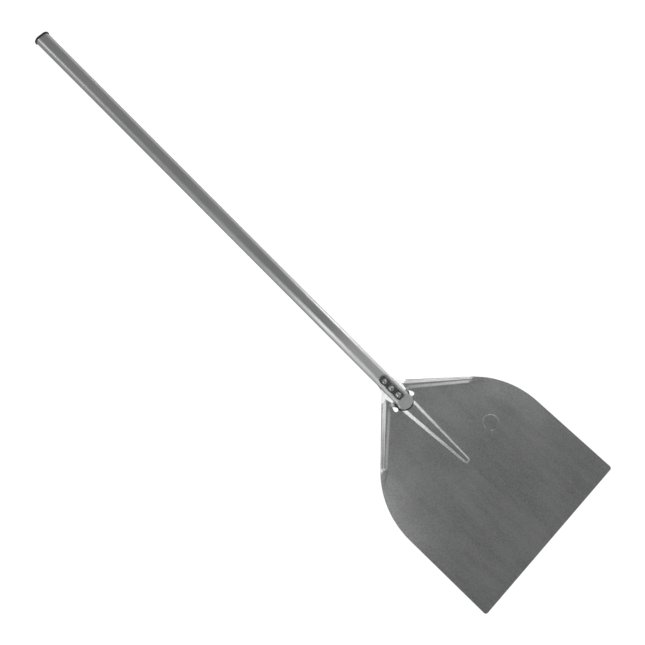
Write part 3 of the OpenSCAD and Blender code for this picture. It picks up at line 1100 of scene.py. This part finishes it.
# how much wider than the tube's bore each part of the plug is
SPIGOT_W, GRIP_W, HOLLOW_W = -2.0, -0.3, -6.0
FLANGE_W = 2 * WALL + 2 * FLANGE_LIP
OVAL_N = 128
rise_r = math.radians(RISE_DEG)
plug_out = Vector((-math.cos(rise_r), 0.0, math.sin(rise_r)))
plug_up = Vector((math.sin(rise_r), 0.0, math.cos(rise_r)))
plug_at = Vector((TUBE_END_X, 0.0, bottom_z(TUBE_END_X))) + TUBE_B * plug_up


def oval_ring(w, h, out):
    """A flat-oval ring of full width w and height h at the distance out past the tube's end."""
    r, straight = h / 2, (w - h) / 2
    ring = []
    for k in range(OVAL_N):
        a = 2 * math.pi * (k + 0.5) / OVAL_N
        y = math.copysign(straight, math.cos(a)) + r * math.cos(a)
        p = plug_at + plug_out * out + plug_up * (r * math.sin(a))
        ring.append((p.x, y, p.z))
    return ring


def plug_mesh():
    """Rings from the floor of the spigot's hollow, out over the spigot and on to the flange."""
    bore_w, bore_h = 2 * (TUBE_A - WALL), 2 * (TUBE_B - WALL)
    rings = []

    def add(grow, out):
        rings.append(oval_ring(bore_w + grow, bore_h + grow, out))

    for grow, out in ((-7.0, -1.0), (-0.4, -1.0), (0.0, -1.4), (0.0, -SPIGOT)):
        add(HOLLOW_W + grow, out)
    add(HOLLOW_W + SPIGOT_ROUND, -SPIGOT)
    add(SPIGOT_W - SPIGOT_ROUND, -SPIGOT)
    add(SPIGOT_W, -SPIGOT + SPIGOT_ROUND)
    for i in range(GRIP_N):
        start = -SPIGOT + 3 + GRIP_PITCH * i
        for grow, dx in ((SPIGOT_W, 0), (GRIP_W - 0.2, 0), (GRIP_W, 0.2), (GRIP_W, GRIP_T - 0.2),
                         (GRIP_W - 0.2, GRIP_T), (SPIGOT_W, GRIP_T)):
            add(grow, start + dx)
    add(SPIGOT_W, -0.02)
    add(FLANGE_W - 2 * FLANGE_BACK_ROUND, 0.0)
    quarter = [math.radians(a) for a in range(0, 91, 15)]
    for a in quarter:
        add(FLANGE_W - 2 * FLANGE_BACK_ROUND * (1 - math.sin(a)),
            FLANGE_BACK_ROUND * (1 - math.cos(a)))
    for a in quarter:
        add(FLANGE_W - 2 * FLANGE_ROUND * (1 - math.cos(a)),
            FLANGE_T - FLANGE_ROUND * (1 - math.sin(a)) - 0.01)
    add(FLANGE_W - 8, FLANGE_T - 0.005)
    add(FLANGE_W - 14, FLANGE_T)
    last = (len(rings) - 1) * OVAL_N
    ends = [tuple(range(OVAL_N)), tuple(last + k for k in reversed(range(OVAL_N)))]
    return [p for ring in rings for p in ring], skin(len(rings), OVAL_N, False) + ends


even_normals(make_piece("plug", *plug_mesh(), "end_plug", "end_plug", plastic))

# ---- floor, light and camera ----
FLOOR_HALF = 12.0
FLOOR_DROP = 0.0004
stage_z = cad_lo.z - FLOOR_DROP
floor_mesh = bpy.data.meshes.new("floor")
corners = ((-FLOOR_HALF, -FLOOR_HALF), (FLOOR_HALF, -FLOOR_HALF), (FLOOR_HALF, FLOOR_HALF),
           (-FLOOR_HALF, FLOOR_HALF))
floor_mesh.from_pydata([(x, y, stage_z) for x, y in corners], [], [(0, 1, 2, 3)])
floor = bpy.data.objects.new("floor", floor_mesh)
bpy.context.scene.collection.objects.link(floor)
floor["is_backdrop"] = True


def floor_material():
    """Pale grey that the camera sees as nearly white."""
    mat, g, surface = new_material("pale_floor")
    g.feed(surface["Base Color"], (0.5, 0.5, 0.5, 1))
    g.feed(surface["Roughness"], 0.9)
    g.feed(surface["Specular IOR Level"], 0.0)
    g.feed(surface["Emission Color"], (1, 1, 1, 1))
    seen = g.made("ShaderNodeLightPath", "Is Camera Ray")
    g.feed(surface["Emission Strength"], g.spread(seen, 0.1, 0.9, 0.0, 1.0))
    return mat


floor_mesh.materials.append(floor_material())


def studio_world():
    """White to the camera; for the metal a dim sky over a bright horizon with a gap on one side."""
    world = bpy.data.worlds.new("studio")
    world.use_nodes = True
    g = Shading(world.node_tree)
    direction = g.made("ShaderNodeTexCoord", "Generated")

    def towards(*aim):
        node = g.nodes.new("ShaderNodeVectorMath")
        node.operation = "DOT_PRODUCT"
        g.feed(node.inputs[0], direction)
        g.feed(node.inputs[1], Vector(aim).normalized())
        return node.outputs["Value"]

    height = towards(0.15, 0.05, 1.0)
    horizon = g.times(g.spread(height, 0.62, 0.0, 0.10, 0.50),
                      g.spread(towards(0.75, 0.66, 0.0), 0.0, 1.0, -0.92, -0.60))
    around = g.add(g.spread(height, 0.20, 0.115, 0.90, 0.985), horizon)
    seen = g.made("ShaderNodeLightPath", "Is Camera Ray")
    background = g.nodes["Background"].inputs
    g.feed(background["Color"], (1.0, 1.0, 1.0, 1))
    g.feed(background["Strength"], g.made("ShaderNodeMix", "Result", Factor=seen, A=around, B=1.0))
    return world


bpy.context.scene.world = studio_world()


def softbox(name, at, aim, width, height, radiance):
    """A one-sided panel that faces aim and has the given brightness."""
    data = bpy.data.lights.new(name, "AREA")
    data.shape = "RECTANGLE"
    data.size, data.size_y = width, height
    data.energy = radiance * math.pi * width * height
    obj = bpy.data.objects.new(name, data)
    bpy.context.scene.collection.objects.link(obj)
    z = (Vector(at) - Vector(aim)).normalized()
    x = Vector((0, 0, 1)).cross(z).normalized()
    y = z.cross(x)
    obj.matrix_world = Matrix((
        (x.x, y.x, z.x, at[0]), (x.y, y.y, z.y, at[1]), (x.z, y.z, z.z, at[2]), (0, 0, 0, 1)))
    obj.visible_camera = False


softbox("softbox_left", (-0.26, -0.50, 0.55), (-0.24, 0.0, 0.0), 0.2, 0.8, 2.35)
softbox("softbox_right", (-0.32, 0.55, 0.18), (-0.26, 0.0, 0.0), 0.28, 0.32, 2.4)
softbox("softbox_back", (-2.39, -1.22, 1.63), (-0.17, -0.08, 0.0), 1.0, 1.0, 1.6)
softbox("softbox_front", (1.88, -1.15, 0.68), (-0.17, 0.0, 0.0), 1.4, 0.8, 0.6)

camera_data = bpy.data.cameras.new("camera")
camera_data.sensor_width = 36.0
camera_data.lens = 48.32
camera = bpy.data.objects.new("camera", camera_data)
bpy.context.scene.collection.objects.link(camera)
# where the camera stands, and its right side and its back, from the photo's perspective
camera_at = Vector((-0.0559, -0.4473, 1.5718))
right = Vector((0.71518, 0.69745, 0.04551)).normalized()
back = Vector((0.20393, -0.27050, 0.94087)).normalized()
up = back.cross(right).normalized()
right = up.cross(back)
turned = Matrix((right, up, back)).transposed().to_4x4()
camera.matrix_world = Matrix.Translation(camera_at) @ turned
bpy.context.scene.camera = camera
bpy.context.scene.view_settings.view_transform = "Standard"
bpy.context.scene.view_settings.look = "None"

lo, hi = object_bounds()
